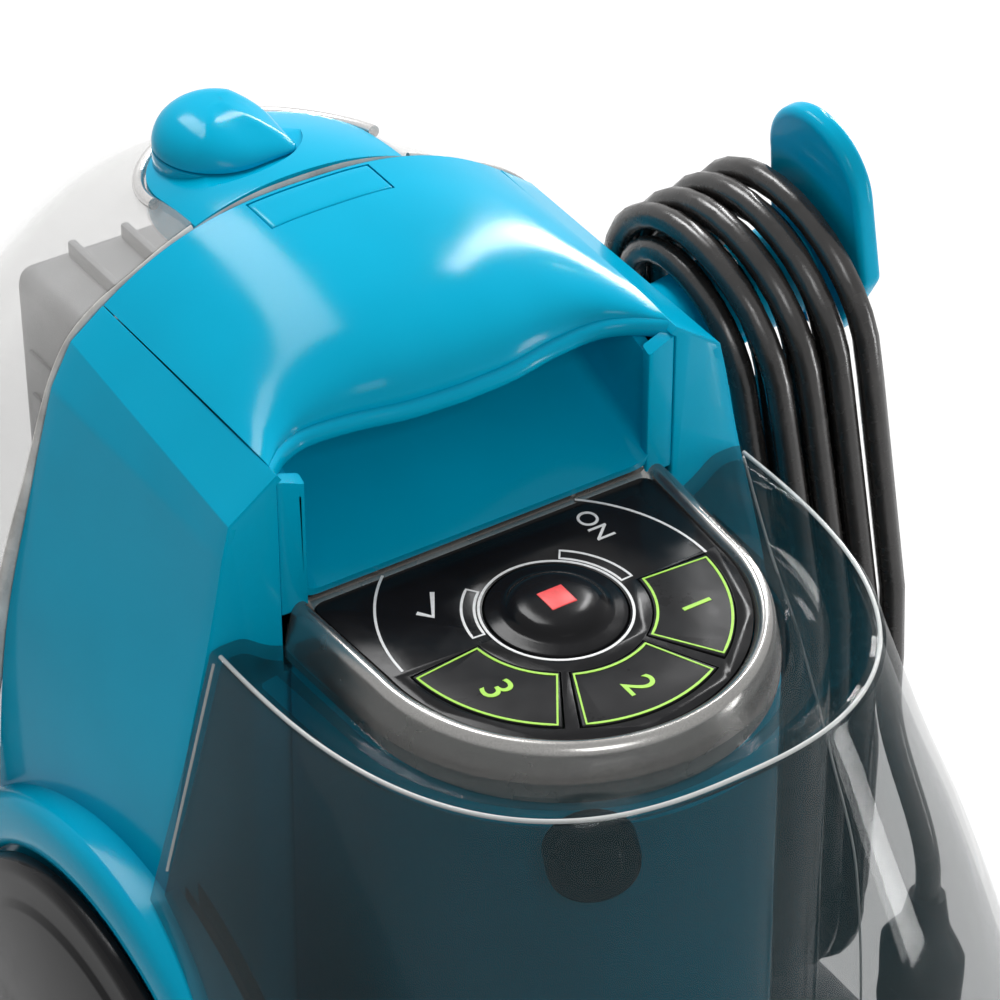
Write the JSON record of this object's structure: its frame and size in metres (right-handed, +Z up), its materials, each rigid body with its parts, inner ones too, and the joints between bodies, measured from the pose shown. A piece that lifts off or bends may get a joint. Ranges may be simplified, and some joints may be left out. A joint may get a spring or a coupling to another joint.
{
  "type": "portable spot extractor",
  "caption": "Portable carpet spot extractor: teal housing, clear front and rear tanks, D-shaped control panel, carrying grip and side cord wrap.",
  "frame": {"origin": "on the floor under the middle of the base", "axes": "+Z up, +Y to the rear (dome tank), -Y to the front (solution tank), +X to the side with the power cord"},
  "size_m": [0.276, 0.4, 0.3455],
  "materials": {
    "teal_shell": "glossy moulded plastic",
    "black_gloss": "glossy black plastic",
    "charcoal": "fine-textured moulded plastic",
    "silver_trim": "satin silver trim",
    "smoke_clear": "smoke-tinted transparent moulding",
    "cord_rubber": "satin flexible sheath",
    "soft_rubber": "matte rubber",
    "motor_steel": "bare steel",
    "grey_plastic": "moulded plastic",
    "board_green": "circuit board laminate"
  },
  "bodies": {
    "machine": {"left_side_panel": "teal_shell", "right_side_panel": "teal_shell", "top_cover": "teal_shell", "handle_well": "teal_shell", "rear_bulkhead": "teal_shell", "panel_pedestal": "teal_shell", "lower_cord_hook": "teal_shell", "panel_face": "black_gloss", "hub_cover": "black_gloss", "sensor_boss": "black_gloss", "hose_port": "black_gloss", "plug": "black_gloss", "base_pan": "charcoal", "base_deck": "charcoal", "fan_housing": "charcoal", "panel_bezel": "silver_trim", "suction_nozzle": "smoke_clear", "power_cord": "cord_rubber", "cord_lead": "cord_rubber", "cord_tail": "cord_rubber", "strain_relief": "cord_rubber", "foot_left_front": "soft_rubber", "foot_right_front": "soft_rubber", "foot_left_rear": "soft_rubber", "foot_right_rear": "soft_rubber", "tank_seal": "soft_rubber", "suction_motor": "motor_steel", "brush_motor": "motor_steel", "pump": "grey_plastic", "spray_nozzle": "grey_plastic", "control_board": "board_green"},
    "stop": {"stop_button": "black_gloss"},
    "key_1": {"program_key_1": "black_gloss"},
    "key_2": {"program_key_2": "black_gloss"},
    "key_3": {"program_key_3": "black_gloss"},
    "latch": {"latch_tab": "teal_shell"},
    "solution": {"solution_tank": "smoke_clear", "tank_valve": "grey_plastic"},
    "recovery": {"recovery_tank": "smoke_clear", "separator_box": "grey_plastic"},
    "cap": {"tank_cap": "teal_shell"},
    "knob": {"lock_knob": "teal_shell"},
    "hook": {"cord_hook": "teal_shell"},
    "turntable_body": {"turntable": "grey_plastic"},
    "brush_l": {"brush_left": "grey_plastic"},
    "brush_r": {"brush_right": "grey_plastic"},
    "impeller_body": {"impeller": "grey_plastic"}
  },
  "joints": [
    {"name": "stop_press", "type": "slide", "parent": "machine", "child": "stop", "axis": [0, 0.0419, -0.9991], "range_m": [0, 0.0012], "stiffness_N_per_m": 900},
    {"name": "key_1_press", "type": "slide", "parent": "machine", "child": "key_1", "axis": [0, 0.0419, -0.9991], "range_m": [0, 0.0012], "stiffness_N_per_m": 900},
    {"name": "key_2_press", "type": "slide", "parent": "machine", "child": "key_2", "axis": [0, 0.0419, -0.9991], "range_m": [0, 0.0012], "stiffness_N_per_m": 900},
    {"name": "key_3_press", "type": "slide", "parent": "machine", "child": "key_3", "axis": [0, 0.0419, -0.9991], "range_m": [0, 0.0012], "stiffness_N_per_m": 900},
    {"name": "latch_press", "type": "slide", "parent": "machine", "child": "latch", "axis": [0, 0, -1], "range_m": [0, 0.0025], "stiffness_N_per_m": 900},
    {"name": "solution_lift", "type": "slide", "parent": "machine", "child": "solution", "axis": [0, 0, 1], "range_m": [0, 0.06]},
    {"name": "recovery_pull", "type": "slide", "parent": "machine", "child": "recovery", "axis": [0, 1, 0], "range_m": [0, 0.06]},
    {"name": "cap_lift", "type": "slide", "parent": "recovery", "child": "cap", "axis": [0, 0, 1], "range_m": [0, 0.03]},
    {"name": "knob_turn", "type": "hinge", "parent": "cap", "child": "knob", "pos_m": [-0.0075, 0.0566, 0.3365], "axis": [0, 0, 1], "range_deg": [0, 90]},
    {"name": "hook_turn", "type": "hinge", "parent": "machine", "child": "hook", "pos_m": [0.0736, -0.007, 0.2844], "axis": [0.9874, 0, 0.158], "range_deg": [0, 180]},
    {"name": "turntable_spin", "type": "hinge", "parent": "machine", "child": "turntable_body", "pos_m": [0, -0.0785, 0.03], "axis": [0, 0, 1], "continuous": true},
    {"name": "brush_left_spin", "type": "hinge", "parent": "turntable_body", "child": "brush_l", "pos_m": [-0.033, -0.0785, 0.02], "axis": [0, 0, 1], "continuous": true},
    {"name": "brush_right_spin", "type": "hinge", "parent": "turntable_body", "child": "brush_r", "pos_m": [0.033, -0.0785, 0.02], "axis": [0, 0, 1], "continuous": true},
    {"name": "impeller_spin", "type": "hinge", "parent": "machine", "child": "impeller_body", "pos_m": [0, -0.008, 0.16], "axis": [0, 0, 1], "continuous": true}
  ],
  "couplings": [
    {"joint": "brush_left_spin", "follows": "turntable_spin", "ratio": -3},
    {"joint": "brush_right_spin", "follows": "turntable_spin", "ratio": -3}
  ]
}
